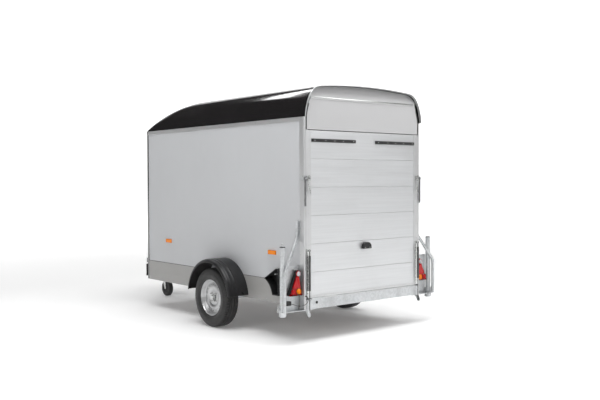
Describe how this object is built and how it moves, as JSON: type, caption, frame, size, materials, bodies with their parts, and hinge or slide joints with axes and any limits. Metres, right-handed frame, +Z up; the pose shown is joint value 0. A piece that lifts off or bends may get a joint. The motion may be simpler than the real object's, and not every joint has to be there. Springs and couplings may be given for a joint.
{
  "type": "box trailer",
  "caption": "Closed single-axle box trailer with a moulded black roof and front, a full-width rear ramp door on gas struts, corner steady legs and a jockey wheel.",
  "frame": {"origin": "on the ground, in the middle of the trailer's length and width", "axes": "+X forward, towards the coupling; +Y to the trailer's left; +Z up"},
  "size_m": [4.2996, 2.0556, 2.36],
  "materials": {
    "galvanised": "satin",
    "panel_grey": "satin",
    "skirt_grey": "satin",
    "aluminium": "satin",
    "gloss_black": "gloss",
    "header_grey": "satin",
    "black_plastic": "matte",
    "rubber": "matte",
    "floor_ply": "satin",
    "lamp_red": "gloss",
    "lamp_amber": "gloss",
    "black_steel": "gloss",
    "zinc_steel": "satin",
    "rim_silver": "gloss",
    "tyre": "matte",
    "cast_grey": "satin",
    "brushed": "satin"
  },
  "bodies": {
    "trailer": {"chassis_frame": "galvanised", "rear_beam": "galvanised", "drawbar_arms": "galvanised", "axle_tube": "galvanised", "floor_panel": "floor_ply", "side_panels": "panel_grey", "side_skirts": "skirt_grey", "top_rails": "aluminium", "corner_pillars": "aluminium", "front_shell": "gloss_black", "roof_shell": "gloss_black", "rear_header": "header_grey", "body_seals": "rubber", "rear_brackets": "galvanised", "guard_tubes": "galvanised", "lamp_housings": "black_plastic", "lamp_lenses": "lamp_red", "side_markers": "lamp_amber", "front_markers": "black_plastic", "mudguards": "black_plastic", "cable_loop": "rubber", "overrun_housing": "cast_grey", "jockey_clamp": "zinc_steel"},
    "ramp": {"ramp_frame": "aluminium", "ramp_planks": "aluminium", "ramp_pads": "rubber", "plate_lamp": "black_plastic", "ramp_brackets": "zinc_steel"},
    "strut_cylinder_left": {"strut_cylinder_left": "black_steel"},
    "strut_rod_left": {"strut_rod_left": "brushed"},
    "lock_left": {"lock_handle_left": "black_steel"},
    "leg_left": {"leg_left": "galvanised"},
    "leg_screw_left": {"leg_screw_left": "zinc_steel"},
    "arm_left": {"swing_arm_left": "galvanised"},
    "wheel_left": {"hub_left": "cast_grey", "rim_left": "rim_silver", "tyre_left": "tyre", "wheel_nuts_left": "brushed"},
    "chock_left": {"chock_left": "black_plastic"},
    "strut_cylinder_right": {"strut_cylinder_right": "black_steel"},
    "strut_rod_right": {"strut_rod_right": "brushed"},
    "lock_right": {"lock_handle_right": "black_steel"},
    "leg_right": {"leg_right": "galvanised"},
    "leg_screw_right": {"leg_screw_right": "zinc_steel"},
    "arm_right": {"swing_arm_right": "galvanised"},
    "wheel_right": {"hub_right": "cast_grey", "rim_right": "rim_silver", "tyre_right": "tyre", "wheel_nuts_right": "brushed"},
    "chock_right": {"chock_right": "black_plastic"},
    "coupling": {"draw_tube": "brushed", "coupling_head": "cast_grey", "gaiter": "rubber"},
    "coupling_handle": {"coupling_handle": "black_plastic"},
    "handbrake": {"handbrake_lever": "black_steel"},
    "jockey_tube": {"jockey_tube": "zinc_steel"},
    "jockey_crank": {"jockey_crank": "zinc_steel"},
    "jockey_inner": {"jockey_inner": "zinc_steel"},
    "jockey_fork": {"jockey_fork": "zinc_steel"},
    "jockey_wheel": {"jockey_wheel": "tyre"}
  },
  "joints": [
    {"name": "ramp_hinge", "type": "hinge", "parent": "trailer", "child": "ramp", "pos_m": [-2.1125, 0, 0.401], "axis": [0, -1, 0], "range_deg": [0, 105]},
    {"name": "strut_head_left", "type": "hinge", "parent": "ramp", "child": "strut_cylinder_left", "pos_m": [-2.1285, 0.722, 0.839], "axis": [0, 1, 0], "range_deg": [0, 17.1]},
    {"name": "strut_stroke_left", "type": "slide", "parent": "strut_cylinder_left", "child": "strut_rod_left", "axis": [0, 0, 1], "range_m": [0, 0.1785]},
    {"name": "lock_turn_left", "type": "hinge", "parent": "trailer", "child": "lock_left", "pos_m": [-2.1178, 0.76, 1.49], "axis": [1, 0, 0], "range_deg": [0, 90]},
    {"name": "leg_slide_left", "type": "slide", "parent": "trailer", "child": "leg_left", "axis": [0, 0, -1], "range_m": [0, 0.255]},
    {"name": "leg_screw_turn_left", "type": "hinge", "parent": "trailer", "child": "leg_screw_left", "pos_m": [-2.0445, 1, 0.3325], "axis": [0, 1, 0], "range_deg": [-90, 90]},
    {"name": "suspension_left", "type": "hinge", "parent": "trailer", "child": "arm_left", "pos_m": [-0.7085, 0.7, 0.27], "axis": [0, 1, 0], "range_deg": [-5, 6], "stiffness_Nm_per_rad": 4000, "springref_deg": -4.56},
    {"name": "wheel_spin_left", "type": "hinge", "parent": "arm_left", "child": "wheel_left", "pos_m": [-0.8635, 0.885, 0.297], "axis": [0, 1, 0], "continuous": true},
    {"name": "chock_pull_left", "type": "slide", "parent": "trailer", "child": "chock_left", "axis": [0, 1, 0], "range_m": [0, 0.12]},
    {"name": "strut_head_right", "type": "hinge", "parent": "ramp", "child": "strut_cylinder_right", "pos_m": [-2.1285, -0.722, 0.839], "axis": [0, 1, 0], "range_deg": [0, 17.1]},
    {"name": "strut_stroke_right", "type": "slide", "parent": "strut_cylinder_right", "child": "strut_rod_right", "axis": [0, 0, 1], "range_m": [0, 0.1785]},
    {"name": "lock_turn_right", "type": "hinge", "parent": "trailer", "child": "lock_right", "pos_m": [-2.1178, -0.76, 1.49], "axis": [-1, 0, 0], "range_deg": [0, 90]},
    {"name": "leg_slide_right", "type": "slide", "parent": "trailer", "child": "leg_right", "axis": [0, 0, -1], "range_m": [0, 0.255]},
    {"name": "leg_screw_turn_right", "type": "hinge", "parent": "trailer", "child": "leg_screw_right", "pos_m": [-2.0445, -1, 0.3325], "axis": [0, 1, 0], "range_deg": [-90, 90]},
    {"name": "suspension_right", "type": "hinge", "parent": "trailer", "child": "arm_right", "pos_m": [-0.7085, -0.7, 0.27], "axis": [0, 1, 0], "range_deg": [-5, 6], "stiffness_Nm_per_rad": 4000, "springref_deg": -4.56},
    {"name": "wheel_spin_right", "type": "hinge", "parent": "arm_right", "child": "wheel_right", "pos_m": [-0.8635, -0.885, 0.297], "axis": [0, 1, 0], "continuous": true},
    {"name": "chock_pull_right", "type": "slide", "parent": "trailer", "child": "chock_right", "axis": [0, -1, 0], "range_m": [0, 0.12]},
    {"name": "overrun_slide", "type": "slide", "parent": "trailer", "child": "coupling", "axis": [-1, 0, 0], "range_m": [0, 0.09], "stiffness_N_per_m": 2000, "springref_m": -0.1, "deforming": ["gaiter"]},
    {"name": "coupling_latch", "type": "hinge", "parent": "coupling", "child": "coupling_handle", "pos_m": [2.0385, 0, 0.426], "axis": [0, 1, 0], "range_deg": [0, 35], "stiffness_Nm_per_rad": 4, "springref_deg": -17.19},
    {"name": "handbrake_pull", "type": "hinge", "parent": "trailer", "child": "handbrake", "pos_m": [1.4435, -0.061, 0.413], "axis": [0, 1, 0], "range_deg": [0, 70]},
    {"name": "jockey_clamp_slide", "type": "slide", "parent": "trailer", "child": "jockey_tube", "axis": [0, 0, -1], "range_m": [0, 0.2]},
    {"name": "jockey_crank_turn", "type": "hinge", "parent": "jockey_tube", "child": "jockey_crank", "pos_m": [1.3685, 0.179, 0.66], "axis": [0, 0, 1], "range_deg": [-2700, 1440]},
    {"name": "jockey_wind", "type": "slide", "parent": "jockey_tube", "child": "jockey_inner", "axis": [0, 0, 1], "range_m": [-0.0601, 0.0321]},
    {"name": "jockey_swivel", "type": "hinge", "parent": "jockey_inner", "child": "jockey_fork", "pos_m": [1.3685, 0.179, 0.212], "axis": [0, 0, 1], "continuous": true},
    {"name": "jockey_wheel_spin", "type": "hinge", "parent": "jockey_fork", "child": "jockey_wheel", "pos_m": [1.3235, 0.179, 0.1], "axis": [0, 1, 0], "continuous": true}
  ],
  "couplings": [
    {"joint": "strut_head_left", "follows": "ramp_hinge", "ratio": 0.16206},
    {"joint": "strut_stroke_left", "follows": "ramp_hinge", "m_per_rad": 0.097032},
    {"joint": "strut_head_right", "follows": "ramp_hinge", "ratio": 0.16206},
    {"joint": "strut_stroke_right", "follows": "ramp_hinge", "m_per_rad": 0.097032},
    {"joint": "jockey_wind", "follows": "jockey_crank_turn", "m_per_rad": 0.0012732}
  ]
}
